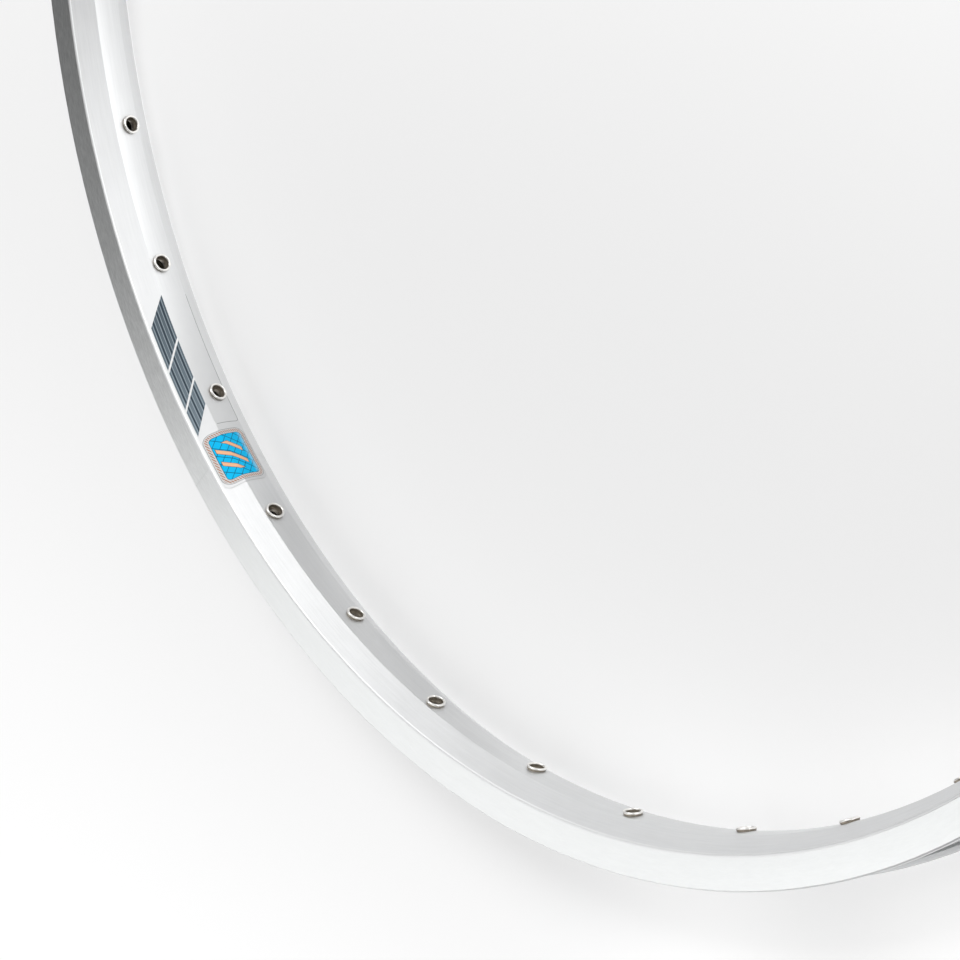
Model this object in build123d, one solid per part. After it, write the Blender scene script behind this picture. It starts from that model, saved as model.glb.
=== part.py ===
from build123d import *
import os
from math import asin, cos, degrees, hypot, radians, tan

# Driving dimensions of the extrusion, in millimetres
bead_seat_radius = 311.0  # shelf for a tyre of 622 mm bead diameter
flange_reach = 5.5  # shelf to the crest of the tyre flanges
track_half_width = 12.2  # half the width over the two brake tracks
track_height = 11.0  # crest to the foot of the machined track
track_step = 0.3  # how far the shoulder stands out from the track
shoulder_land = 0.8  # flat land of the shoulder, which the rim lies on
slope_height = 4.7  # land to the edge of the spoke bed, along the radius
bed_half_width = 5.0
bed_crown = 0.5  # how far the middle of the bed stands out towards the hub
tyre_gap = 19.4  # clear width between the two hooks
hook_depth = 0.9  # groove behind each hook
hook_height = 1.8  # inner face of each hook
edge_chamfer = 0.5  # broken outer edge of the flange crest
shelf_width = 3.3
well_depth = 2.4  # bead shelf to the floor of the tyre well
well_ramp = 1.8  # width of the ramp from shelf to well
bridge_wall = 1.3
side_wall = 1.5
slope_wall = 1.4
bed_wall = 2.1

# The butt joint of the rolled extrusion, opposite the valve hole, and the sleeve inside it
seam_gap = 0.1
sleeve_length = 40.0
sleeve_wall = 1.8
sleeve_clearance = 0.15

# Drilling pattern, in millimetres and degrees
spoke_count = 36
row_offset = 1.27  # each row of spoke holes lies this far from mid plane
spoke_hole_radius = 2.65
access_hole_radius = 4.0
valve_hole_radius = 3.25
valve_angle = 0.0

# Riveted eyelets
eyelet_clearance = 0.05
eyelet_bore_radius = 2.2
flange_radius = 3.4
flange_height = 0.8
curl_radius = 3.1
curl_height = 0.5

# Foil label across the seam
foil_thickness = 0.1
foil_lift = 0.2  # layer of adhesive beneath the foil
foil_before_seam = 67.9  # along the bed, on each side of the butt joint
foil_past_seam = 13.1
foil_slope_margin = 0.6  # bare strip of slope beside the land, along the radius
foil_far_margin = 0.4  # bare strip along the far edge of the bed
foil_hole_gap = 0.3  # round the flange of each eyelet that the label takes in

# Sizes that follow from these
spoke_step = 360.0 / spoke_count
seam_angle = valve_angle + 180.0
rim_radius = bead_seat_radius + flange_reach
track_foot_radius = rim_radius - track_height
land_outer_radius = track_foot_radius - track_step
land_inner_radius = land_outer_radius - shoulder_land
shoulder_half_width = track_half_width + track_step
bed_edge_radius = land_inner_radius - slope_height
bed_radius = bed_edge_radius - bed_crown
crown_radius = (bed_half_width**2 + bed_crown**2) / (2 * bed_crown)
hook_half_gap = tyre_gap / 2
groove_half_width = hook_half_gap + hook_depth
shelf_half_width = groove_half_width - shelf_width
well_radius = bead_seat_radius - well_depth
well_half_width = shelf_half_width - well_ramp
ceiling_radius = well_radius - bridge_wall
floor_radius = bed_radius + bed_wall
row_tilt = degrees(asin(row_offset / crown_radius))


def mirrored_line(upper):
    """Open section line from its upper half's corners, as radius and width, and their mirror images."""
    lower = [(radius, -width) for radius, width in reversed(upper)]
    return Polyline(*upper, *lower)


def extrusion_outline():
    """Filled section: crowned bed, slopes, shoulders, tracks, hooked flanges, shelves and well."""
    hook_foot = rim_radius - hook_height
    sides = mirrored_line(
        [
            (bed_edge_radius, bed_half_width),
            (land_inner_radius, shoulder_half_width),
            (land_outer_radius, shoulder_half_width),
            (track_foot_radius, track_half_width),
            (rim_radius - edge_chamfer, track_half_width),
            (rim_radius, track_half_width - edge_chamfer),
            (rim_radius, hook_half_gap),
            (hook_foot, hook_half_gap),
            (hook_foot - hook_depth, groove_half_width),
            (bead_seat_radius, groove_half_width),
            (bead_seat_radius, shelf_half_width),
            (well_radius, well_half_width),
        ]
    )
    bed = ThreePointArc(sides @ 1, (bed_radius, 0), sides @ 0)
    return make_face([*sides.edges(), bed])


def chamber_outline():
    """Hollow between the spoke bed and the bridge, with each wall at its own thickness."""
    slope_width = shoulder_half_width - bed_half_width
    slope_length = hypot(slope_width, slope_height)
    inside_radius = bed_edge_radius + slope_wall * slope_width / slope_length
    inside_width = bed_half_width - slope_wall * slope_height / slope_length
    rise = slope_width / slope_height
    side = track_half_width - side_wall
    ledge_radius = bead_seat_radius - bridge_wall
    sides = mirrored_line(
        [
            (floor_radius, inside_width + (floor_radius - inside_radius) * rise),
            (inside_radius + (side - inside_width) / rise, side),
            (ledge_radius, side),
            (ledge_radius, shelf_half_width),
            (ceiling_radius, well_half_width),
        ]
    )
    return make_face([*sides.edges(), Line(sides @ 1, sides @ 0)])


def ring(section, start, sweep):
    """Solid of a section turned about the wheel axis, from one angle in degrees through another."""
    return revolve(Rot(0, 0, start) * (Plane.XZ * section), Axis.Z, sweep)


def arc_degrees(length):
    """Angle of an arc of this length along the spoke bed."""
    return degrees(length / bed_radius)


def spoke_place(index):
    """Bed surface at one spoke hole, with Z along the hole and away from the hub.

    The rows alternate, each hole is square to the crowned bed, and the valve lies midway between two holes.
    """
    around = valve_angle + spoke_step * (index + 0.5)
    tilt = row_tilt if index % 2 == 0 else -row_tilt
    crown_centre = Pos(bed_radius + crown_radius, 0, 0)
    return Rot(0, 0, around) * crown_centre * Rot(0, 90 + tilt, 0) * Pos(0, 0, -crown_radius)


def column(radius, start, end):
    """Round column between two heights along Z."""
    return Pos(0, 0, (start + end) / 2) * Cylinder(radius, end - start)


def spoke_cutter(index):
    """Small hole through the bed, and the wider access hole through the bridge behind it."""
    middle = (floor_radius + ceiling_radius) / 2 - bed_radius
    bed_hole = column(spoke_hole_radius, -bed_wall, middle)
    access_hole = column(access_hole_radius, middle, rim_radius - bed_radius)
    return spoke_place(index) * (bed_hole + access_hole)


def valve_cutter():
    """Valve hole through bed and bridge."""
    hole = column(valve_hole_radius, bed_radius - bed_wall, rim_radius)
    return Rot(0, 0, valve_angle) * Rot(0, 90, 0) * hole


def rim_hoop():
    """Rolled hollow extrusion with its butt joint, spoke holes, access holes and valve hole."""
    gap = arc_degrees(seam_gap)
    section = extrusion_outline() - chamber_outline()
    hoop = ring(section, seam_angle + gap / 2, 360 - gap)
    return hoop - [spoke_cutter(index) for index in range(spoke_count)] - valve_cutter()


def joint_sleeve():
    """Hollow insert that fills the chamber on both sides of the butt joint."""
    outside = offset(chamber_outline(), -sleeve_clearance, kind=Kind.INTERSECTION)
    inside = offset(outside, -sleeve_wall, kind=Kind.INTERSECTION)
    span = arc_degrees(sleeve_length)
    return ring(outside - inside, seam_angle - span / 2, span)


def eyelet():
    """Riveted eyelet along Z: flange that stands on the bed at zero, tube, and curl in the chamber."""
    tube_radius = spoke_hole_radius - eyelet_clearance
    bed_rise = flange_radius**2 / (2 * bed_radius)
    seat = -bed_rise - eyelet_clearance
    tilt = radians(row_tilt)
    hole_end = (floor_radius - bed_radius) / cos(tilt) + spoke_hole_radius * tan(tilt)
    curl_start = hole_end + eyelet_clearance
    curl_end = curl_start + curl_height
    profile = Polyline(
        (eyelet_bore_radius, seat - flange_height),
        (flange_radius, seat),
        (tube_radius, seat),
        (tube_radius, curl_start),
        (curl_radius, curl_end),
        (eyelet_bore_radius, curl_end),
        close=True,
    )
    return revolve(Plane.XZ * make_face(profile), Axis.Z)


def eyelet_row(first):
    """Every second eyelet round the rim, from the first or the second spoke hole."""
    pattern = eyelet()
    return Compound([spoke_place(index) * pattern for index in range(first, spoke_count, 2)])


def foil_label():
    """Foil over the near slope and the bed, across the butt joint, with a hole for each eyelet in it."""
    section = extrusion_outline()
    adhesive = offset(section, foil_lift, kind=Kind.INTERSECTION)
    skin = offset(section, foil_lift + foil_thickness, kind=Kind.INTERSECTION) - adhesive
    outer_radius = land_inner_radius - foil_slope_margin
    inner_radius = bed_radius - bed_wall
    far_width = foil_far_margin - bed_half_width
    window = Pos(inner_radius, far_width) * Rectangle(
        outer_radius - inner_radius,
        shoulder_half_width - far_width,
        align=(Align.MIN, Align.MIN),
    )
    start = seam_angle - arc_degrees(foil_before_seam)
    foil = ring(skin & window, start, arc_degrees(foil_before_seam + foil_past_seam))
    hole = column(flange_radius + foil_hole_gap, -bed_wall, bed_wall)
    return foil - [spoke_place(index) * hole for index in range(spoke_count)]


os.makedirs("parts", exist_ok=True)
export_step(rim_hoop(), "parts/rim_hoop.step")
export_step(joint_sleeve(), "parts/joint_sleeve.step")
export_step(eyelet_row(0), "parts/upper_eyelets.step")
export_step(eyelet_row(1), "parts/lower_eyelets.step")
export_step(foil_label(), "parts/foil_label.step")
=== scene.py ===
from functools import reduce
from math import asin, ceil, cos, degrees, hypot, pi, radians, sin, sqrt, tan

import bpy
from mathutils import Matrix, Vector
from mathutils.geometry import tessellate_polygon


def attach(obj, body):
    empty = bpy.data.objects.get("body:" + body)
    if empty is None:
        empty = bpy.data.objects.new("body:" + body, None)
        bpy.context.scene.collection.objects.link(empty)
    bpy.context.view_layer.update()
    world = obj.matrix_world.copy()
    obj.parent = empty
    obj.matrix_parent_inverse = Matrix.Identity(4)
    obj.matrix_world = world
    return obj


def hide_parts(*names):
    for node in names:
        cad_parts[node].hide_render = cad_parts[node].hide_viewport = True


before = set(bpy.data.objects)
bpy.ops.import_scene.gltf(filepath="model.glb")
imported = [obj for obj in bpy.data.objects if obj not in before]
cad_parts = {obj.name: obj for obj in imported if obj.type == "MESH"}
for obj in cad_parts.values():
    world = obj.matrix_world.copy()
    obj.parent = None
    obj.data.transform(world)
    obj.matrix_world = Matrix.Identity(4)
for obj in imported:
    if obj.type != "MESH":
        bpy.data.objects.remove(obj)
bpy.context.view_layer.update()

# Sizes are in millimetres and degrees, and meshes are written in metres
MM = 0.001

# Driving dimensions of the section
bead_seat_radius = 311.0
flange_reach = 5.5  # shelf to the crest of the tyre flanges
track_height = 11.25  # crest to the foot of the machined track
track_half_width = 12.2
track_step = 0.3  # how far the shoulder stands out from the track
step_height = 0.05  # of that step, along the radius
shoulder_land = 0.8  # flat land of the shoulder, which the rim lies on
slope_height = 5.0  # land to the edge of the spoke bed, along the radius
bed_half_width = 5.0
bed_crown = 0.5  # how far the middle of the bed stands out towards the hub
hook_half_gap = 9.7
hook_depth = 0.9
hook_height = 1.8
edge_chamfer = 0.5
shelf_width = 3.3
well_depth = 2.4
well_ramp = 1.8
bridge_wall = 1.3
side_wall = 1.5
slope_wall = 1.4
bed_wall = 2.1

# Rounding of its edges
bed_fillet = 0.25
land_fillet = 0.9  # between slope and land
step_fillet = 0.03  # between land and track
crest_fillet = 0.35
hook_fillet = 0.4
groove_fillet = 0.3
shelf_fillet = 0.5
floor_fillet = 0.3
side_fillet = 0.5
ceiling_fillet = 0.4
edge_margin = 0.3  # width of a drilled wall that its rounded edge takes
shoulder_margin = 0.1  # how far the duller finish of an edge reaches past it
side_facing = 0.3  # a surface belongs to the sides if it faces sideways at least this much

# Sizes that follow from these
rim_radius = bead_seat_radius + flange_reach
track_foot_radius = rim_radius - track_height
land_outer_radius = track_foot_radius - step_height
land_inner_radius = land_outer_radius - shoulder_land
shoulder_half_width = track_half_width + track_step
bed_edge_radius = land_inner_radius - slope_height
bed_radius = bed_edge_radius - bed_crown
crown_radius = (bed_half_width**2 + bed_crown**2) / (2 * bed_crown)
groove_half_width = hook_half_gap + hook_depth
shelf_half_width = groove_half_width - shelf_width
well_radius = bead_seat_radius - well_depth
well_half_width = shelf_half_width - well_ramp
ceiling_radius = well_radius - bridge_wall
floor_radius = bed_radius + bed_wall
slope_width = shoulder_half_width - bed_half_width
slope_length = hypot(slope_width, slope_height)

# Butt joint and drilling
seam_angle = 180.0
seam_gap = 0.05
spoke_count = 36
spoke_step = 360.0 / spoke_count
row_offset = 1.27
row_tilt = asin(row_offset / crown_radius)
spoke_hole_radius = 2.65
access_hole_radius = 4.0
valve_hole_radius = 3.25
hole_chamfer = 0.2

# Eyelets, with their profile as radii and heights above the bed
flange_radius = 3.1  # foot of the flange, beneath its rolled edge
flange_gap = 0.03
roll_middle = 2.95  # crest of the rolled edge
roll_half = 0.44
roll_height = 1.25
roll_rise = 0.58  # rounded part of that height
eyelet_neck = [(2.42, 0.1), (2.4, -0.55)]
eyelet_lip = [(2.12, -0.8), (2.12, -1.0)]
eyelet_bore = [(2.33, -1.25), (2.33, -2.0)]
eyelet_curl = [(2.4, -2.35), (2.55, -2.62), (2.8, -2.75), (3.05, -2.68), (3.1, -2.5), (2.95, -2.38)]
eyelet_tube = [(2.6, -2.32), (2.6, flange_gap)]
smooth_angle = 50.0  # a profile that turns by less than this is shaded smooth

# Foil label
foil_before_seam = 67.9  # along the bed, on each side of the butt joint
foil_past_seam = 11.2
foil_slope_margin = 0.6  # bare strip of slope beside the land, along the radius
foil_half_width = 4.96
foil_corner = 3.0
foil_low = 0.04  # its two faces, above the metal
foil_high = 0.14
foil_bend = 0.12  # from the edge of the bed to the flat of the slope
foil_hole_radius = 3.5
foil_eyelet = 17  # the eyelet that the label goes round

# Print on the label, along the bed from the butt joint and across it from mid plane
silver_run = (-68.0, -25.0)
panel_centre = (-53.8, 0.9)
panel_half = (40.0, 5.8)
panel_corner = 1.4
panel_line = (-0.12, 0.06)
panel_top = 4.6
bar_foot = 5.4
bar_levels = (-0.1, 6.1)  # above the foot
bar_slant = 1.7
bar_ends = [(-66.5, -49.6), (-48.4, -33.6), (-32.4, -22.4)]
bar_run = (-66.0, -20.0)
stripe_pitch = 1.0
block_centre = (-0.5, 3.5)
block_half = (10.5, 7.8)
block_corner = 3.2
block_rim = 0.12  # the layers of its border, outwards from its outline
tick_band = (-1.30, -0.35)
tick_pitch = 0.7
inner_rim = -1.65
inner_field = -1.83
lattice_slants = (0.8, -1.2)
lattice_pitches = (1.7, 1.9)
lattice_line = 0.16
slash_centre = (-0.5, 4.4)
slash_half = (5.9, 4.4)
slash_corner = 1.2
slash_pitch = 2.6
slash_shift = 0.4
slash_shadow = 0.16
# Heights over which the painted sheen washes the blue out
sheen_run = (-0.8, -4.0)

# Inks
# Dark line ink, which also stands for painted shade along the label's cut edge
line_and_edge_shade_ink = (0.20, 0.21, 0.21, 1.0)
slate_deep = (0.075, 0.10, 0.12, 1.0)
slate_pale = (0.15, 0.19, 0.22, 1.0)
slate_groove = (0.035, 0.05, 0.065, 1.0)
slate_stripe = (0.30, 0.35, 0.39, 1.0)
blue_ink = (0.0, 0.50, 0.87, 1.0)
blue_line = (0.0, 0.11, 0.24, 1.0)
# Pale blue of a painted sheen near the label's far edge
blue_sheen = (0.60, 0.74, 0.80, 1.0)
shadow_ink = (0.02, 0.07, 0.10, 1.0)
copper_ink = (0.88, 0.48, 0.28, 1.0)
border_foil = (0.62, 0.62, 0.61, 1.0)
border_tick = (0.42, 0.20, 0.13, 1.0)
border_edge = (0.10, 0.11, 0.12, 1.0)

# Mesh density: stations round the rim and the label, and segments across a wall and round an eyelet
cell_half_angle = 1.25
cell_segments = 8
plain_step = 1.9
foil_step = 1.0
corner_steps = 6
width_segments = 8
patch_rings = 3
round_step = 18.0
eyelet_segments = 40
roll_facets = 12

# Material slots of the rim and of the eyelets
SATIN, TURNED, INSIDE, SHOULDER = range(4)
# The eyelets' second slot is the bore's brown film, and painted shade at the foot under the rolled edge
BRIGHT, FILM_AND_SHADE = range(2)

# Floor, whose tones go by millimetres from the wheel axis
floor_half = 4.0  # in metres
floor_near = 550.0  # the lit paint of the floor fades to the backdrop from here
floor_far = 1100.0
floor_paint = (0.45, 0.45, 0.45, 1.0)
beyond_paint = (0.36, 0.36, 0.36, 1.0)
unlit_paint = (0.0, 0.0, 0.0, 1.0)
beyond_course = (0.65, 0.76)  # direction to the far side of the rim, which the lamps light most
beyond_run = (-25.0, 260.0)
beyond_dimming = 0.12
backdrop = 0.8

# Glow of the floor as a bowl over x and y, counted in units out to a reach, held between two limits
glow_unit = 300.0
glow_reach = 2.0  # in units
glow_middle = 0.584
glow_slope = (0.25, 0.15)
glow_bowl = (0.11, 0.1)
glow_twist = 0.09
glow_limits = (0.4, 0.65)
mirror_middle = 0.56

# Soft patches of that glow: x, y, reach and strength
corner_patches = [(-225.0, -262.0, 60.0, 0.15), (-120.0, -325.0, 60.0, 0.18)]
light_patches = [(-224.0, 120.0, 42.0, 0.41), (-248.0, 80.0, 34.0, 0.25), (-120.0, -335.0, 55.0, 0.42)]
dark_patches = [(-262.0, -25.0, 32.0, 0.49), (-258.0, -95.0, 32.0, 0.27)]

# Lamps round the sides: azimuth, elevation, size in metres and brightness
lamp_distance = 1.5
side_lamps = {
    "strip": (345.0, 3.5, (0.7, 0.16), 25.5),
    "key": (60.0, 45.0, (0.9, 0.7), 7.5),
    "fill": (0.0, 45.0, (0.9, 0.7), 2.2),
    "back": (100.0, 12.0, (0.8, 0.5), 1.2),
    "front": (330.0, 12.0, (0.8, 0.5), 0.6),
    "edge": (190.0, 5.5, (0.9, 0.26), 2.2),
}

# Panels that hang level over the brake track: middle and size in metres, and brightness
panel_height = 0.25
panels = {
    "panel_main": ((-0.56, 0.005), (0.36, 0.33), 1.44),
    "panel_low": ((-0.42, -0.30), (0.5, 0.28), 1.65),
    "panel_high": ((-0.6, 0.25), (0.4, 0.2), 0.2),
}
room_light = 0.08

# Camera, fitted to the eyelets and to the edges of the section
camera_place = Vector((1020.47, -821.13, 1145.67)) * MM
camera_right = Vector((0.45671, -0.44327, -0.77132))
camera_up = Vector((0.58842, 0.80079, -0.11179))
camera_lens = 205.66
camera_reach = 20.0  # in metres
sensor_width = 36.0


class Solid:
    """Faces of one piece, with welded corners and a normal for each corner of each face."""

    def __init__(self):
        self.places = []
        self.known = {}
        self.faces = []
        self.normals = []
        self.slots = []

    def vertex(self, place):
        """Index of the corner at a place in millimetres, made if it is new."""
        key = tuple(round(part, 4) for part in place)
        if key not in self.known:
            self.known[key] = len(self.places)
            self.places.append(tuple(part * MM for part in place))
        return self.known[key]

    def face(self, corners, slot=0):
        """Adds a face from pairs of place and normal, counterclockwise as seen from outside."""
        indices = [self.vertex(place) for place, _ in corners]
        kept = [turn for turn in range(len(indices)) if indices[turn] != indices[turn - 1]]
        if len(kept) < 3:
            return
        self.faces.append([indices[turn] for turn in kept])
        self.normals.extend(corners[turn][1] for turn in kept)
        self.slots.append(slot)

    def band(self, first, second, slot=0, skipped=()):
        """Adds the faces between two closed loops of corners, apart from the steps that are skipped."""
        for step in range(len(first)):
            if step in skipped:
                continue
            after = (step + 1) % len(first)
            self.face([first[step], first[after], second[after], second[step]], slot)

    def build(self, name, materials):
        """Makes the object, smooth by the normals that its faces were given."""
        mesh = bpy.data.meshes.new(name)
        mesh.from_pydata(self.places, [], self.faces)
        for material in materials:
            mesh.materials.append(material)
        mesh.polygons.foreach_set("material_index", self.slots)
        mesh.polygons.foreach_set("use_smooth", [True] * len(self.faces))
        mesh.normals_split_custom_set(self.normals)
        piece = bpy.data.objects.new(name, mesh)
        bpy.context.scene.collection.objects.link(piece)
        return piece


def around(radius, height, angle):
    """Place at a radius, a height and an angle round the wheel axis."""
    turn = radians(angle)
    return (radius * cos(turn), radius * sin(turn), height)


def arc_degrees(length):
    """Angle of an arc of this length along the spoke bed."""
    return degrees(length / bed_radius)


def even_steps(first, last, steps):
    """Values from the first to the last, in even steps."""
    return [first + (last - first) * step / steps for step in range(steps + 1)]


def fillet(before, corner, after, radius):
    """Arc that rounds a corner of a section line, as points with their outward normals."""
    corner = Vector(corner)
    back = (Vector(before) - corner).normalized()
    onward = (Vector(after) - corner).normalized()
    half = back.angle(onward) / 2
    start = corner + back * (radius / tan(half))
    centre = corner + (back + onward).normalized() * (radius / sin(half))
    outward = Vector((back.y, -back.x))
    side = 1 if (start - centre).dot(outward) > 0 else -1
    turn = pi - 2 * half
    if back.x * onward.y - back.y * onward.x > 0:
        turn = -turn
    steps = max(1, ceil(abs(degrees(turn)) / round_step))
    points = []
    for step in range(steps + 1):
        arm = Matrix.Rotation(turn * step / steps, 2) @ ((start - centre) / radius)
        points.append((*(centre + arm * radius), *(arm * side)))
    return points


def rounded_line(corners):
    """Section line through corners of radius, height and fillet, without the first and the last."""
    points = []
    for before, corner, after in zip(corners, corners[1:], corners[2:]):
        points += fillet(before[:2], corner[:2], after[:2], corner[2])
    return points


def mirrored(points):
    """Mirror image of a section line, in the order that carries on from it."""
    return [(radius, -height, out, -up) for radius, height, out, up in reversed(points)]


def flipped(point):
    """The same point of a section, facing the other way."""
    radius, height, out, up = point
    return (radius, height, -out, -up)


def turned(point, angle):
    """Place and normal of a section point turned to an angle."""
    radius, height, out, up = point
    return around(radius, height, angle), around(out, up, angle)


def bed_point(height, lift=0.0):
    """Point of the crowned bed at a height, lifted off the metal, with its normal."""
    up = height / crown_radius
    out = -sqrt(1 - up**2)
    centre = bed_radius + crown_radius
    return (centre + out * (crown_radius + lift), height + up * lift, out, up)


def level_point(radius, out):
    """Function that gives the point of a level wall at a height, with its normal."""
    return lambda height: (radius, height, out, 0.0)


class Strip:
    """Wall of a section that holes may go through: its points in turn, and the formula they follow."""

    def __init__(self, formula, half_width, facing):
        heights = [half_width * (2 * step / width_segments - 1) for step in range(width_segments + 1)]
        if facing > 0:
            heights.reverse()
        self.formula = formula
        self.facing = facing
        self.points = [formula(height) for height in heights]


def outline_section():
    """Outer line of the extrusion: bed, one side by way of the track, well, and the other side."""
    bed = Strip(bed_point, bed_half_width - edge_margin, -1)
    well = Strip(level_point(well_radius, 1.0), well_half_width - edge_margin, 1)
    hook_foot = rim_radius - hook_height
    upper = rounded_line(
        [
            bed.points[-1][:2],
            (bed_edge_radius, bed_half_width, bed_fillet),
            (land_inner_radius, shoulder_half_width, land_fillet),
            (land_outer_radius, shoulder_half_width, step_fillet),
            (track_foot_radius, track_half_width, step_fillet),
            (rim_radius - edge_chamfer, track_half_width, crest_fillet),
            (rim_radius, track_half_width - edge_chamfer, crest_fillet),
            (rim_radius, hook_half_gap, crest_fillet),
            (hook_foot, hook_half_gap, hook_fillet),
            (hook_foot - hook_depth, groove_half_width, groove_fillet),
            (bead_seat_radius, groove_half_width, shelf_fillet),
            (bead_seat_radius, shelf_half_width, shelf_fillet),
            (well_radius, well_half_width, shelf_fillet),
            (well_radius, 0.0),
        ]
    )
    return [bed, upper, well, mirrored(upper)]


def chamber_section():
    """Line of the hollow, which faces inwards: floor, one side, ceiling, and the other side."""
    inside_radius = bed_edge_radius + slope_wall * slope_width / slope_length
    inside_width = bed_half_width - slope_wall * slope_height / slope_length
    rise = slope_width / slope_height
    floor_half_width = inside_width + (floor_radius - inside_radius) * rise
    side = track_half_width - side_wall
    side_radius = inside_radius + (side - inside_width) / rise
    ledge_radius = bead_seat_radius - bridge_wall
    floor = Strip(level_point(floor_radius, 1.0), floor_half_width - edge_margin, 1)
    ceiling = Strip(level_point(ceiling_radius, -1.0), well_half_width - edge_margin, -1)
    lower = rounded_line(
        [
            (floor_radius, 0.0),
            (floor_radius, -floor_half_width, floor_fillet),
            (side_radius, -side, side_fillet),
            (ledge_radius, -side, side_fillet),
            (ledge_radius, -shelf_half_width, ceiling_fillet),
            (ceiling_radius, -well_half_width, ceiling_fillet),
            (ceiling_radius, 0.0),
        ]
    )
    return [floor, lower, ceiling, mirrored(lower)]


def section_points(section):
    """All points of a section in turn, and the strip that each stretch to the next point lies in."""
    points = []
    owners = []
    for part in section:
        owner = part if isinstance(part, Strip) else None
        run = owner.points if owner else part
        points += run
        owners += [owner] * (len(run) - 1) + [None]
    return points, owners


def drilled_patch(solid, strip, stations, centre, height, radius, slot):
    """Fills one cell of a strip round a hole, and gives the hole's edge by the cell's own border."""
    last = len(strip.points) - 1
    end = len(stations) - 1
    border = [(across, 0) for across in range(last)]
    border += [(last, along) for along in range(end)]
    border += [(across, end) for across in range(last, 0, -1)]
    border += [(0, along) for along in range(end, 0, -1)]
    mid_radius = strip.formula(height)[0]
    rings = [[] for _ in range(patch_rings + 1)]
    edge = {}
    for across, along in border:
        far_x = mid_radius * radians(stations[along] - centre)
        far_y = strip.points[across][1] - height
        turn = Vector((far_x, far_y)).normalized()
        for ring in range(patch_rings + 1):
            share = ring / patch_rings
            x = far_x + (turn.x * radius - far_x) * share
            y = far_y + (turn.y * radius - far_y) * share
            point = strip.points[across] if ring == 0 else strip.formula(height + y)
            angle = stations[along] if ring == 0 else centre + degrees(x / mid_radius)
            rings[ring].append(turned(point, angle))
        key = (last - across if strip.facing > 0 else across, along)
        edge[key] = (rings[-1][-1], turn)
    for outer, inner in zip(rings, rings[1:]):
        solid.band(outer, inner, slot)
    return edge


def bore_wall(solid, near, far, centre, depth_sign, chamfer, slot):
    """Wall of a hole between its edges on two strips, with the near edge broken by a chamfer."""
    tangent = Vector(around(1.0, 0.0, centre + 90.0))
    inward = Vector(around(depth_sign, 0.0, centre))
    mouth, throat, foot = [], [], []
    for key, ((place, normal), turn) in near.items():
        (end, _), _ = far[key]
        arm = tangent * turn.x + Vector((0.0, 0.0, turn.y))
        mouth.append((place, tuple((Vector(normal) - arm).normalized())))
        deeper = tuple(Vector(place) + (inward - arm) * chamfer) if chamfer else place
        throat.append((deeper, tuple(-arm)))
        foot.append((end, tuple(-arm)))
    solid.band(mouth, throat, slot)
    solid.band(throat, foot, slot)


def rim_cells():
    """Cells round the rim from one side of the butt joint to the other.

    Each has its stations and, where it is drilled, the hole's angle and the index of its spoke.
    The valve hole has no index.
    """
    half_gap = arc_degrees(seam_gap / 2)
    holes = [(spoke_step * (index + 0.5), index) for index in range(spoke_count)]
    holes = [(angle if angle > seam_angle else angle + 360.0, index) for angle, index in holes]
    valve = (seam_angle + 180.0, None)
    cells = []
    angle = seam_angle + half_gap
    for centre, index in sorted(holes + [valve]):
        begin, end = centre - cell_half_angle, centre + cell_half_angle
        cells.append((even_steps(angle, begin, ceil((begin - angle) / plain_step)), None, None))
        stations = even_steps(begin, end, cell_segments)
        cells.append((stations, centre, index))
        angle = stations[-1]
    end = seam_angle + 360.0 - half_gap
    cells.append((even_steps(angle, end, ceil((end - angle) / plain_step)), None, None))
    return cells


def hole_heights(index):
    """Height of the hole's axis at the bed, the floor, the ceiling and the well."""
    if index is None:
        return (0.0, 0.0, 0.0, 0.0)
    side = 1 if index % 2 == 0 else -1
    depths = (0.0, floor_radius - bed_radius, ceiling_radius - bed_radius, well_radius - bed_radius)
    return tuple(side * (row_offset - depth * tan(row_tilt)) for depth in depths)


def section_slot(first, second):
    """Material slot of a stretch of the extrusion's outer line."""
    inner, outer = sorted((first[0], second[0]))
    sideways = min(first[3] * first[1], second[3] * second[1]) > side_facing * track_half_width
    if not sideways or inner < land_inner_radius - land_fillet:
        return SATIN
    on_crest = inner > rim_radius - edge_chamfer - shoulder_margin
    on_land = outer < land_outer_radius + shoulder_margin
    return SHOULDER if on_crest or on_land else TURNED


def end_cap(solid, lines, angle, facing):
    """Closes a section, of one line or of an outer and an inner one, at an angle."""
    flat = [[Vector((*point, 0.0)) for point in line] for line in lines]
    merged = [point for line in lines for point in line]
    normal = tuple(Vector(around(1.0, 0.0, angle + 90.0)) * facing)
    for corners in tessellate_polygon(flat):
        places = [merged[corner] for corner in corners]
        first, second, third = [Vector(place) for place in places]
        if (second - first).cross(third - first) * facing > 0:
            places.reverse()
        solid.face([(around(*place, angle), normal) for place in places])


def drill(solid, walls, stations, centre, index):
    """Fills one cell of bed, floor, ceiling and well round a spoke's two holes, or the valve hole."""
    bed, floor, ceiling, well = walls
    valve = index is None
    inner = valve_hole_radius if valve else spoke_hole_radius
    outer = valve_hole_radius if valve else access_hole_radius
    chamfer = hole_chamfer if valve else 0.0
    heights = hole_heights(index)
    bed_hole = drilled_patch(solid, bed, stations, centre, heights[0], inner + chamfer, SATIN)
    floor_hole = drilled_patch(solid, floor, stations, centre, heights[1], inner, INSIDE)
    ceiling_hole = drilled_patch(solid, ceiling, stations, centre, heights[2], outer, INSIDE)
    well_hole = drilled_patch(solid, well, stations, centre, heights[3], outer + hole_chamfer, SATIN)
    bore_wall(solid, bed_hole, floor_hole, centre, 1, chamfer, SATIN)
    bore_wall(solid, well_hole, ceiling_hole, centre, -1, hole_chamfer, SATIN)


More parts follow.
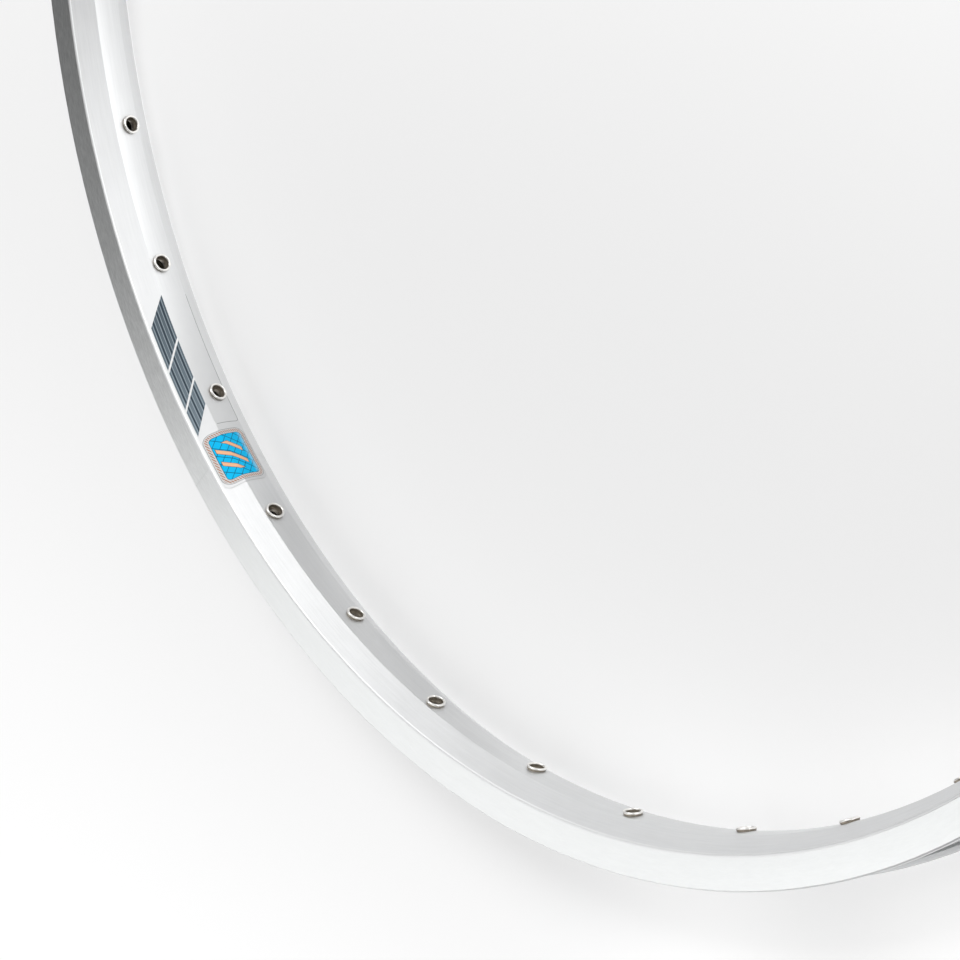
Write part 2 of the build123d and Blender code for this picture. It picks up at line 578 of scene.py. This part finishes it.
def rim_hoop(materials):
    """The rolled extrusion with rounded edges, drilled walls, hollow chamber and butt joint."""
    solid = Solid()
    outline, chamber = outline_section(), chamber_section()
    lines = [section_points(outline), section_points(chamber)]
    bed, _, well, _ = outline
    floor, _, ceiling, _ = chamber
    cells = rim_cells()
    for stations, centre, index in cells:
        for (points, owners), outside in zip(lines, (True, False)):
            for step, owner in enumerate(owners):
                if owner and centre is not None:
                    continue
                first, second = points[step], points[(step + 1) % len(points)]
                slot = section_slot(first, second) if outside else INSIDE
                for begin, end in zip(stations, stations[1:]):
                    places = ((first, begin), (second, begin), (second, end), (first, end))
                    solid.face([turned(*place) for place in places], slot)
        if centre is not None:
            drill(solid, (bed, floor, ceiling, well), stations, centre, index)
    outlines = [[point[:2] for point in points] for points, _ in lines]
    end_cap(solid, outlines, cells[0][0][0], -1)
    end_cap(solid, outlines, cells[-1][0][-1], 1)
    return solid.build("rim", materials)


def eyelet_profile(edge):
    """Turned profile of an eyelet: foot at its own height, rolled edge, bore, curl in the chamber, tube."""
    foot = [(flange_radius, edge)]
    roll = []
    for turn in even_steps(0.0, pi, roll_facets):
        level = roll_height - roll_rise + roll_rise * sin(turn)
        roll.append((roll_middle + roll_half * cos(turn), level))
    return foot + roll + eyelet_neck + eyelet_lip + eyelet_bore + eyelet_curl + eyelet_tube


def profile_normals(points):
    """For each stretch of a closed profile, the normals at its two ends, shared where it turns gently."""
    flat = []
    for first, second in zip(points, points[1:] + points[:1]):
        flat.append(Vector((second[1] - first[1], first[0] - second[0])).normalized())
    pairs = []
    for step, normal in enumerate(flat):
        ends = []
        for other in (flat[step - 1], flat[(step + 1) % len(flat)]):
            gentle = normal.dot(other) > cos(radians(smooth_angle))
            ends.append((normal + other).normalized() if gentle else normal)
        pairs.append(ends)
    return pairs


def add_eyelet(solid, index):
    """One eyelet square to the crowned bed, with its flange edge laid on the bed all round."""
    side = 1 if index % 2 == 0 else -1
    angle = spoke_step * (index + 0.5)
    radius, height, out, up = bed_point(side * row_offset)
    base = Vector(around(radius, height, angle))
    axis = Vector(around(out, up, angle))
    across = Vector(around(up, -out, angle))
    along = Vector(around(1.0, 0.0, angle + 90.0))
    columns = []
    for segment in range(eyelet_segments):
        turn = 2 * pi * segment / eyelet_segments
        arm = across * cos(turn) + along * sin(turn)
        fall = (flange_radius * cos(turn)) ** 2 / (2 * crown_radius)
        rise = (flange_radius * sin(turn)) ** 2 / (2 * bed_radius)
        points = eyelet_profile(rise - fall + flange_gap)
        places = [tuple(base + arm * reach + axis * level) for reach, level in points]
        normals = [[tuple(arm * end.x + axis * end.y) for end in pair] for pair in profile_normals(points)]
        columns.append((places, normals))
    for segment, (places, normals) in enumerate(columns):
        next_places, next_normals = columns[(segment + 1) % eyelet_segments]
        for step in range(len(places)):
            after = (step + 1) % len(places)
            corners = [
                (places[step], normals[step][0]),
                (next_places[step], next_normals[step][0]),
                (next_places[after], next_normals[step][1]),
                (places[after], normals[step][1]),
            ]
            # Step 0, the foot under the rolled edge, takes the brown as painted shade; the steps past the
            # roll are the bore's film
            solid.face(corners, BRIGHT if 1 <= step <= roll_facets else FILM_AND_SHADE)


def eyelet_row(name, first, materials):
    """Every second eyelet round the rim."""
    solid = Solid()
    for index in range(first, spoke_count, 2):
        add_eyelet(solid, index)
    return solid.build(name, materials)


def foil_trim(gap):
    """How far the label's long edges draw in at a distance from one of its rounded ends."""
    return foil_corner - sqrt(foil_corner**2 - max(0.0, foil_corner - gap) ** 2)


def foil_face(lift, trim):
    """One face of the label's section: across the bed from its far edge, then up the slope."""
    heights = even_steps(-foil_half_width + trim, foil_half_width, width_segments)
    points = [bed_point(height, lift) for height in heights]
    run = Vector((slope_height, slope_width)) / slope_length
    normal = Vector((-run.y, run.x))
    end = slope_length * (1 - foil_slope_margin / slope_height) - trim
    corner = Vector((bed_edge_radius, bed_half_width)) + normal * lift
    for reach in even_steps(foil_bend, end, width_segments):
        points.append((*(corner + run * reach), *normal))
    return points


def foil_line(trim):
    """Closed section of the label, from the far edge of its upper face and back along its lower face."""
    upper = foil_face(foil_high, trim)
    lower = foil_face(foil_low, trim)
    return upper + [flipped(point) for point in reversed(lower)]


def foil_stations(start, end, centre):
    """Angles along the label in three stretches: up to the eyelet's cell, that cell, and the rest."""
    gaps = [foil_corner * (1 - cos(pi / 2 * step / corner_steps)) for step in range(corner_steps)]
    gaps.append(foil_corner)
    opening = [start + arc_degrees(gap) for gap in gaps]
    closing = [end - arc_degrees(gap) for gap in reversed(gaps)]
    begin, finish = centre - cell_half_angle, centre + cell_half_angle
    before = even_steps(opening[-1], begin, ceil((begin - opening[-1]) / foil_step))
    after = even_steps(finish, closing[0], ceil((closing[0] - finish) / foil_step))
    return [opening[:-1] + before, even_steps(begin, finish, cell_segments), after[:-1] + closing]


def foil_label(material):
    """Thin foil over slope and bed, with rounded corners and a hole round the eyelet that it takes in."""
    solid = Solid()
    start = seam_angle - arc_degrees(foil_before_seam)
    end = seam_angle + arc_degrees(foil_past_seam)
    centre = spoke_step * (foil_eyelet + 0.5)
    stretches = foil_stations(start, end, centre)
    ends = [point[:2] for point in foil_line(foil_corner)]
    on_bed = set(range(width_segments))
    on_bed |= {len(ends) - 2 - step for step in range(width_segments)}
    for stations, skipped in zip(stretches, ((), on_bed, ())):
        lines = []
        for angle in stations:
            gap = radians(min(angle - start, end - angle)) * bed_radius
            lines.append([turned(point, angle) for point in foil_line(foil_trim(gap))])
        for first, second in zip(lines, lines[1:]):
            solid.band(first, second, skipped=skipped)
    top = Strip(lambda height: bed_point(height, foil_high), foil_half_width, -1)
    bottom = Strip(lambda height: flipped(bed_point(height, foil_low)), foil_half_width, 1)
    height = row_offset if foil_eyelet % 2 == 0 else -row_offset
    top_hole = drilled_patch(solid, top, stretches[1], centre, height, foil_hole_radius, 0)
    bottom_hole = drilled_patch(solid, bottom, stretches[1], centre, height, foil_hole_radius, 0)
    bore_wall(solid, top_hole, bottom_hole, centre, 1, 0.0, 0)
    end_cap(solid, [ends], start, -1)
    end_cap(solid, [ends], end, 1)
    return solid.build("label", [material])


class Graph:
    """Nodes of one material, written as formulas of the place on the object in millimetres."""

    def __init__(self, name):
        self.material = bpy.data.materials.new(name)
        self.material.use_nodes = True
        self.tree = self.material.node_tree
        self.shader = self.tree.nodes["Principled BSDF"]
        scale = self.node("ShaderNodeVectorMath", operation="SCALE")
        self.feed(scale.inputs[0], self.node("ShaderNodeTexCoord").outputs["Object"])
        self.feed(scale.inputs["Scale"], 1 / MM)
        self.place = scale.outputs[0]
        parts = self.node("ShaderNodeSeparateXYZ")
        self.feed(parts.inputs[0], self.place)
        self.x, self.y, self.z = parts.outputs
        self.radius = self.math("SQRT", self.math("ADD", self.square(self.x), self.square(self.y)))

    def node(self, kind, **settings):
        """New node of a kind, with its settings."""
        node = self.tree.nodes.new(kind)
        for key, value in settings.items():
            setattr(node, key, value)
        return node

    def feed(self, socket, value):
        """Links a socket to another node's output, or sets it to a constant."""
        if isinstance(value, bpy.types.NodeSocket):
            self.tree.links.new(value, socket)
        else:
            socket.default_value = value

    def set(self, **values):
        """Feeds the shader's inputs by name."""
        for key, value in values.items():
            self.feed(self.shader.inputs[key.replace("_", " ")], value)

    def math(self, operation, *values):
        """One operation on one or two values."""
        node = self.node("ShaderNodeMath", operation=operation)
        for socket, value in zip(node.inputs, values):
            self.feed(socket, value)
        return node.outputs[0]

    def square(self, value):
        """A value times itself."""
        return self.math("MULTIPLY", value, value)

    def total(self, values):
        """Sum of several values."""
        return reduce(lambda first, second: self.math("ADD", first, second), values)

    def weigh(self, *pairs):
        """Sum of several values, each times its own weight."""
        return self.total(self.math("MULTIPLY", value, weight) for value, weight in pairs)

    def vector(self, *values):
        """Vector of three values."""
        node = self.node("ShaderNodeCombineXYZ")
        for socket, value in zip(node.inputs, values):
            self.feed(socket, value)
        return node.outputs[0]

    def angle(self):
        """Angle round the wheel axis in radians, zero at the butt joint."""
        return self.math("ARCTAN2", self.math("MULTIPLY", self.y, -1.0), self.math("MULTIPLY", self.x, -1.0))

    def before_joint(self):
        """One on the stretch of the rim before the butt joint, zero on the rest of it."""
        from_middle = self.math("ABSOLUTE", self.math("ADD", self.angle(), 0.6))
        return self.span(from_middle, 0.4, 0.7, 1.0, 0.0)

    def noise(self, vector, scale, detail=2.0, rough=0.5):
        """Noise with a mean of about a half."""
        node = self.node("ShaderNodeTexNoise")
        self.feed(node.inputs["Vector"], vector)
        self.feed(node.inputs["Scale"], scale)
        self.feed(node.inputs["Detail"], detail)
        self.feed(node.inputs["Roughness"], rough)
        return node.outputs["Fac"]

    def drawn_lines(self, scale, rough=0.5):
        """Noise in lines along the length of the extrusion."""
        run = self.math("MULTIPLY", self.angle(), 12.0)
        return self.noise(self.vector(self.radius, self.z, run), scale, 4.0, rough)

    def span(self, value, low, high, first=0.0, second=1.0, kind="LINEAR"):
        """Maps one range to another, held at its ends."""
        node = self.node("ShaderNodeMapRange", interpolation_type=kind)
        for socket, part in zip(node.inputs, (value, low, high, first, second)):
            self.feed(socket, part)
        return node.outputs[0]

    def vary(self, noise, first, second):
        """Maps the usual range of a noise to another range."""
        return self.span(noise, 0.3, 0.7, first, second)

    def above(self, value, edge, soft=0.05):
        """One where a value is over an edge, otherwise zero, with a soft border."""
        return self.span(value, edge - soft, edge + soft, kind="SMOOTHSTEP")

    def below(self, value, edge, soft=0.05):
        """One where a value is under an edge, otherwise zero, with a soft border."""
        return self.span(value, edge - soft, edge + soft, 1.0, 0.0, kind="SMOOTHSTEP")

    def between(self, value, low, high, soft=0.05):
        """One where a value lies between two edges, otherwise zero, with soft borders."""
        return self.math("SUBTRACT", self.above(value, low, soft), self.above(value, high, soft))

    def mix(self, share, first, second):
        """Colour from a first one, at a share of zero, to a second one, at a share of one."""
        node = self.node("ShaderNodeMix", data_type="RGBA")
        self.feed(node.inputs[0], share)
        # The node has sockets for each type of data, and these are the ones for colours
        self.feed(node.inputs[6], first)
        self.feed(node.inputs[7], second)
        return node.outputs[2]

    def tint(self, value, shares):
        """Colour of one brightness, with a share of it in each channel."""
        node = self.node("ShaderNodeCombineColor")
        for socket, share in zip(node.inputs, shares):
            self.feed(socket, self.math("MULTIPLY", value, share))
        return node.outputs[0]

    def bump(self, height, strength, distance):
        """Roughens the surface by a height."""
        node = self.node("ShaderNodeBump")
        self.feed(node.inputs["Strength"], strength)
        self.feed(node.inputs["Distance"], distance)
        self.feed(node.inputs["Height"], height)
        self.feed(self.shader.inputs["Normal"], node.outputs[0])


def anodised_aluminium():
    """Satin anodised extrusion: fine lines along its length, and a faint cloudiness."""
    graph = Graph("anodised_aluminium")
    lines = graph.drawn_lines(1.5, 0.6)
    cloud = graph.noise(graph.place, 0.05, 3.0)
    drift = graph.vary(cloud, -0.012, 0.012)
    tone = graph.math("ADD", graph.vary(lines, 0.70, 0.74), drift)
    graph.set(Base_Color=graph.tint(tone, (0.992, 1.0, 1.006)), Metallic=1.0)
    graph.set(Roughness=graph.math("ADD", graph.vary(lines, 0.50, 0.52), drift))
    graph.bump(lines, 0.15, 0.0002)
    return graph.material


def machined_aluminium():
    """Turned brake track: fine grooves round the wheel, which stretch its highlights.

    The grooves are deepest before the joint.
    """
    graph = Graph("machined_aluminium")
    turn = graph.math("MULTIPLY", graph.angle(), 50.0)
    fine = graph.noise(graph.vector(graph.radius, turn, 0.0), 1.6, 4.0, 0.7)
    wide = graph.noise(graph.vector(graph.radius, turn, 5.0), 0.7)
    depth = graph.span(graph.before_joint(), 0.0, 1.0, 0.08, 0.5)
    streak = graph.math("MULTIPLY", graph.math("SUBTRACT", fine, 0.5), depth)
    tone = graph.math("ADD", graph.vary(wide, 0.775, 0.795), streak)
    graph.set(Base_Color=graph.tint(tone, (0.985, 1.0, 0.998)), Metallic=1.0)
    graph.set(Roughness=graph.vary(fine, 0.37, 0.43), Anisotropic=0.6, Anisotropic_Rotation=0.25)
    tangent = graph.node("ShaderNodeTangent", direction_type="RADIAL", axis="Z")
    graph.set(Tangent=tangent.outputs[0])
    graph.bump(fine, 0.10, 0.0001)
    return graph.material


def shoulder_aluminium():
    """Rounded shoulder and outer edges: duller than the rest, so that they catch light from all round. Before
    the joint their tone is raised by a painted highlight.
    """
    graph = Graph("shoulder_aluminium")
    lines = graph.drawn_lines(3.0)
    # Painted highlight: lighter tone on the stretch before the joint
    painted_highlight = graph.math("MULTIPLY", graph.before_joint(), 0.17)
    tone = graph.math("ADD", graph.vary(lines, 0.79, 0.82), painted_highlight)
    graph.set(Base_Color=graph.tint(tone, (0.995, 1.0, 1.003)), Metallic=1.0)
    graph.set(Roughness=graph.vary(lines, 0.58, 0.62))
    return graph.material


def chamber_metal():
    """Inside of the extrusion, never finished: dull, with a brown film."""
    graph = Graph("chamber_metal")
    film = graph.noise(graph.place, 0.4, 3.0)
    graph.set(Base_Color=graph.mix(film, (0.40, 0.36, 0.31, 1.0), (0.52, 0.48, 0.42, 1.0)))
    graph.set(Metallic=0.6, Roughness=graph.vary(film, 0.45, 0.6))
    return graph.material


def eyelet_metal():
    """Rolled edge of the eyelets: warm bright plating, a little cloudy."""
    graph = Graph("eyelet_metal")
    cloud = graph.noise(graph.place, 0.6, 3.0)
    graph.set(Base_Color=graph.mix(cloud, (0.83, 0.815, 0.785, 1.0), (0.88, 0.87, 0.845, 1.0)))
    graph.set(Metallic=1.0, Roughness=graph.vary(cloud, 0.36, 0.41))
    graph.bump(cloud, 0.03, 0.0001)
    return graph.material


def eyelet_film_and_shade():
    """Brown film in the bore of the eyelets; round their foot, under the rolled edge, the same brown is
    painted shade.
    """
    graph = Graph("eyelet_film_and_shade")
    cloud = graph.noise(graph.place, 0.9, 3.0)
    graph.set(Base_Color=graph.mix(cloud, (0.21, 0.18, 0.14, 1.0), (0.36, 0.32, 0.27, 1.0)))
    graph.set(Metallic=0.6, Roughness=graph.vary(cloud, 0.30, 0.40))
    return graph.material


def sleeve_metal():
    """Sawn aluminium insert, dull and unfinished."""
    graph = Graph("sleeve_metal")
    grain = graph.noise(graph.place, 0.8, 4.0)
    graph.set(Base_Color=graph.tint(graph.vary(grain, 0.5, 0.62), (1.0, 1.0, 1.0)))
    graph.set(Metallic=1.0, Roughness=graph.vary(grain, 0.4, 0.55))
    graph.bump(grain, 0.2, 0.0002)
    return graph.material


def rounded_box(graph, place, centre, half, corner):
    """Distance outside a rounded rectangle on the label, in millimetres, below zero inside it."""
    sides = []
    for value, middle, reach in zip(place, centre, half):
        from_middle = graph.math("ABSOLUTE", graph.math("SUBTRACT", value, middle))
        sides.append(graph.math("SUBTRACT", from_middle, reach - corner))
    squares = [graph.square(graph.math("MAXIMUM", side, 0.0)) for side in sides]
    outside = graph.math("SQRT", graph.total(squares))
    inside = graph.math("MINIMUM", graph.math("MAXIMUM", *sides), 0.0)
    return graph.math("SUBTRACT", graph.math("ADD", outside, inside), corner)


def slate_bars(graph, along, across):
    """Slanted bars on the slope with pinstripes along them: their share of the label, and their colour."""
    level = graph.math("SUBTRACT", across, bar_foot)
    slant = graph.math("SUBTRACT", along, graph.math("MULTIPLY", level, bar_slant))
    bars = graph.total(graph.between(slant, *ends) for ends in bar_ends)
    bars = graph.math("MULTIPLY", bars, graph.between(level, *bar_levels))
    ripple = graph.math("PINGPONG", level, stripe_pitch)
    slate = graph.mix(graph.span(along, *bar_run), slate_deep, slate_pale)
    slate = graph.mix(graph.above(ripple, 0.80, 0.08), slate, slate_groove)
    slate = graph.mix(graph.between(ripple, 0.44, 0.60), slate, slate_stripe)
    return bars, slate


def blue_field(graph, along, across, falling, rising):
    """Blue ground with a lattice of fine lines and copper slashes, washed towards pale blue near the far edge
    by a painted sheen.
    """
    lines = []
    for course, pitch in zip((falling, rising), lattice_pitches):
        lines.append(graph.above(graph.math("PINGPONG", course, pitch), pitch - lattice_line, 0.06))
    blue = graph.mix(graph.math("MAXIMUM", *lines), blue_ink, blue_line)
    middle = rounded_box(graph, (along, across), slash_centre, slash_half, slash_corner)
    wave = graph.math("PINGPONG", graph.math("SUBTRACT", falling, slash_shift), slash_pitch)
    shadow = graph.math("MULTIPLY", graph.below(middle, slash_shadow), graph.above(wave, 1.62))
    slash = graph.math("MULTIPLY", graph.below(middle, 0.0), graph.above(wave, 1.80))
    blue = graph.mix(shadow, blue, shadow_ink)
    blue = graph.mix(slash, blue, copper_ink)
    # Painted sheen: the print turns pale towards the far edge
    return graph.mix(graph.span(across, *sheen_run), blue, blue_sheen)


def printed_foil():
    """Silver foil with a lined panel on the bed, slate bars on the slope, and a blue block over the joint."""
    graph = Graph("printed_foil")
    along = graph.math("MULTIPLY", graph.angle(), bed_radius)
    across = graph.z
    grain = graph.vary(graph.noise(graph.place, 0.3), -0.006, 0.006)
    silver = graph.math("ADD", graph.span(along, *silver_run, 0.72, 0.65), grain)
    colour = graph.tint(silver, (0.992, 1.0, 1.006))

    # Thin dark line along the far edge, painted shade of the label's cut edge, and round the end of the plain
    # panel on the bed
    panel = rounded_box(graph, (along, across), panel_centre, panel_half, panel_corner)
    line = graph.math("MULTIPLY", graph.between(panel, *panel_line, 0.04), graph.below(across, panel_top))
    colour = graph.mix(line, colour, line_and_edge_shade_ink)

    bars, slate = slate_bars(graph, along, across)
    colour = graph.mix(bars, colour, slate)

    # Blue block with a dark outline, a ticked border and a dark line inside it
    block = rounded_box(graph, (along, across), block_centre, block_half, block_corner)
    falling, rising = [graph.weigh((along, 1.0), (across, slant)) for slant in lattice_slants]
    tick = graph.above(graph.math("PINGPONG", graph.math("ADD", falling, across), tick_pitch), 0.36, 0.08)
    ticks = graph.math("MULTIPLY", tick, graph.between(block, *tick_band))
    inside = graph.below(block, 0.0)
    colour = graph.mix(graph.below(block, block_rim), colour, border_edge)
    colour = graph.mix(inside, colour, graph.mix(ticks, border_foil, border_tick))
    colour = graph.mix(graph.below(block, inner_rim), colour, shadow_ink)
    blue = blue_field(graph, along, across, falling, rising)
    colour = graph.mix(graph.below(block, inner_field), colour, blue)

    ink = graph.math("MAXIMUM", inside, graph.math("MULTIPLY", bars, 0.6))
    graph.set(Base_Color=colour, Metallic=graph.span(ink, 0.0, 1.0, 1.0, 0.2))
    graph.set(Roughness=graph.span(ink, 0.0, 1.0, 0.50, 0.40), Specular_IOR_Level=0.15)
    graph.set(Coat_Weight=graph.span(ink, 0.0, 1.0, 0.05, 0.12), Coat_Roughness=0.12)
    return graph.material


def floor_patches(graph, patches):
    """Sum of soft round patches of the floor, each at its full strength in its middle."""
    pairs = []
    for x, y, reach, strength in patches:
        offsets = (graph.math("SUBTRACT", graph.x, x), graph.math("SUBTRACT", graph.y, y))
        far = graph.total([graph.square(offset) for offset in offsets])
        patch = graph.math("EXPONENT", graph.math("MULTIPLY", far, -1.0 / reach**2))
        pairs.append((patch, strength))
    return graph.weigh(*pairs)


def floor_seen(graph):
    """Glow of the floor in the picture: least in the middle of the rim, and more towards every side."""
    limit = glow_unit * glow_reach
    x, y = [graph.span(value, -limit, limit, -glow_reach, glow_reach) for value in (graph.x, graph.y)]
    slope = graph.weigh((x, glow_slope[0]), (y, glow_slope[1]))
    bowl = graph.weigh((graph.square(x), glow_bowl[0]), (graph.square(y), glow_bowl[1]))
    twist = graph.weigh((graph.math("MULTIPLY", x, y), glow_twist))
    glow = graph.total([slope, bowl, twist, glow_middle])
    held = graph.span(glow, *glow_limits, *glow_limits)
    return graph.math("ADD", held, floor_patches(graph, corner_patches))


def floor_mirrored(graph):
    """Glow of the floor as the metal mirrors it: light cards at the top and dark ones beyond the label."""
    light = graph.math("ADD", floor_patches(graph, light_patches), mirror_middle)
    return graph.math("SUBTRACT", light, floor_patches(graph, dark_patches))


def lay_floor():
    """Pale floor under the rim, wide enough to fill the view, with a glow of its own like a lit sweep."""
    level = -shoulder_half_width * MM
    mesh = bpy.data.meshes.new("floor")
    corners = [(-1, -1), (1, -1), (1, 1), (-1, 1)]
    mesh.from_pydata([(x * floor_half, y * floor_half, level) for x, y in corners], [], [(0, 1, 2, 3)])
    floor = bpy.data.objects.new("floor", mesh)
    bpy.context.scene.collection.objects.link(floor)
    graph = Graph("floor_paint")
    path = graph.node("ShaderNodeLightPath").outputs
    far = graph.span(graph.radius, floor_near, floor_far, kind="SMOOTHSTEP")
    course = graph.weigh((graph.x, beyond_course[0]), (graph.y, beyond_course[1]))
    beyond = graph.span(course, *beyond_run, kind="SMOOTHSTEP")
    glow = graph.math("SUBTRACT", floor_seen(graph), graph.math("MULTIPLY", beyond, beyond_dimming))
    rise = graph.math("MULTIPLY", far, graph.math("SUBTRACT", backdrop, glow))
    seen = graph.math("MULTIPLY", path["Is Camera Ray"], graph.math("ADD", glow, rise))
    reflected = graph.math("MULTIPLY", path["Is Glossy Ray"], floor_mirrored(graph))
    paint = graph.mix(far, graph.mix(beyond, floor_paint, beyond_paint), unlit_paint)
    graph.set(Base_Color=paint, Roughness=0.9, Specular_IOR_Level=0.0)
    graph.set(Emission_Color=(1.0, 1.0, 1.0, 1.0), Emission_Strength=graph.math("ADD", seen, reflected))
    mesh.materials.append(graph.material)


def lamp(name, size, brightness):
    """Soft rectangular lamp of one brightness all over, at the origin and facing down."""
    light = bpy.data.lights.new(name, "AREA")
    light.shape = "RECTANGLE"
    light.size, light.size_y = size
    light.energy = pi * size[0] * size[1] * brightness
    thing = bpy.data.objects.new(name, light)
    thing.visible_camera = False
    bpy.context.scene.collection.objects.link(thing)
    return thing


def side_lamp(name, azimuth, elevation, size, brightness):
    """Lamp in a given direction from the middle of the rim, facing it."""
    thing = lamp(name, size, brightness)
    reach = lamp_distance * cos(radians(elevation))
    thing.location = around(reach, lamp_distance * sin(radians(elevation)), azimuth)
    thing.rotation_euler = (-thing.location).to_track_quat("-Z", "Y").to_euler()


def light_room():
    """Dim white surroundings, seen by the camera as bright as the backdrop."""
    world = bpy.data.worlds.new("room")
    world.use_nodes = True
    tree = world.node_tree
    background = tree.nodes["Background"]
    path = tree.nodes.new("ShaderNodeLightPath")
    strength = tree.nodes.new("ShaderNodeMath")
    strength.operation = "MULTIPLY_ADD"
    strength.inputs[1].default_value = backdrop - room_light
    strength.inputs[2].default_value = room_light
    tree.links.new(path.outputs["Is Camera Ray"], strength.inputs[0])
    background.inputs["Color"].default_value = (1.0, 1.0, 1.0, 1.0)
    tree.links.new(strength.outputs[0], background.inputs["Strength"])
    bpy.context.scene.world = world


def light_scene():
    """A low strip that skims the bed, soft lamps round the sides, panels overhead, and a dim room."""
    light_room()
    for name, values in side_lamps.items():
        side_lamp(name, *values)
    for name, (centre, size, brightness) in panels.items():
        lamp(name, size, brightness).location = (*centre, panel_height)


def place_camera():
    """Camera at the photograph's place, with its right and up directions."""
    camera = bpy.data.cameras.new("camera")
    camera.lens = camera_lens
    camera.sensor_width = sensor_width
    camera.clip_end = camera_reach
    thing = bpy.data.objects.new("camera", camera)
    back = camera_right.cross(camera_up)
    axes = Matrix((camera_right, camera_up, back)).transposed()
    thing.matrix_world = Matrix.Translation(camera_place) @ axes.to_4x4()
    bpy.context.scene.collection.objects.link(thing)
    bpy.context.scene.camera = thing


def carry(piece, node):
    """Puts a piece on the part's only body, in the place of a node."""
    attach(piece, "root")
    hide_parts(node)


rim_finish = [anodised_aluminium(), machined_aluminium(), chamber_metal(), shoulder_aluminium()]
eyelet_finish = [eyelet_metal(), eyelet_film_and_shade()]
carry(rim_hoop(rim_finish), "rim_hoop")
carry(eyelet_row("eyelets_upper", 0, eyelet_finish), "upper_eyelets")
carry(eyelet_row("eyelets_lower", 1, eyelet_finish), "lower_eyelets")
carry(foil_label(printed_foil()), "foil_label")
sleeve = bpy.data.objects["joint_sleeve"]
sleeve_finish = sleeve_metal()
for slot in sleeve.material_slots:
    slot.material = sleeve_finish

lay_floor()
light_scene()
place_camera()
bpy.context.scene.view_settings.view_transform = "Standard"
